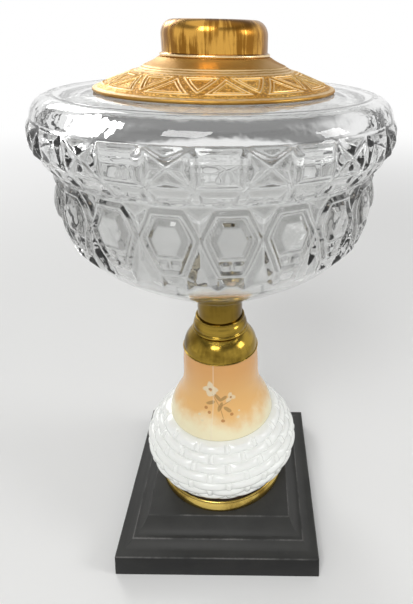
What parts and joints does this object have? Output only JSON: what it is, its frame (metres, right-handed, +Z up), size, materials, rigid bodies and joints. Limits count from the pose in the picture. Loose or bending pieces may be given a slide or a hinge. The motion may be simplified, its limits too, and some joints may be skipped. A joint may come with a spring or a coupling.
{
  "type": "glass oil lamp",
  "caption": "Table oil lamp without its burner: pressed glass font in brass on a milk glass stem with a woven bulb, on a square stepped cast-iron base.",
  "frame": {"origin": "middle of the underside of the base, on the surface the lamp stands on", "axes": "+Z up the axis of the lamp, from the base to the burner collar; -Y is the front, square to a side of the base"},
  "size_m": [0.1692, 0.1697, 0.3086],
  "materials": {
    "black_iron": "matt black paint on cast iron",
    "golden_brass": "lacquered, bright",
    "olive_brass": "polished, slightly tarnished",
    "milk_glass": "opaque white, glossy, fire-painted peach on the bell",
    "clear_glass": "clear pressed glass",
    "plaster": "set plaster",
    "dark_plaster": "stained plaster",
    "steel": "dull",
    "leather": "hard washer leather"
  },
  "bodies": {
    "root": {"iron_base": "black_iron", "stem_dish": "olive_brass", "stem_bedding": "dark_plaster", "stem_glass": "milk_glass", "cap_washer": "leather", "stem_cap": "olive_brass", "step_ring": "olive_brass", "font_cup": "olive_brass", "font_cement": "plaster", "glass_font": "clear_glass", "shoulder_cement": "plaster", "font_shoulder": "golden_brass", "burner_collar": "golden_brass", "tie_rod": "steel", "rod_nut": "steel", "base_washer": "steel", "base_nut": "steel"}
  },
  "joints": []
}
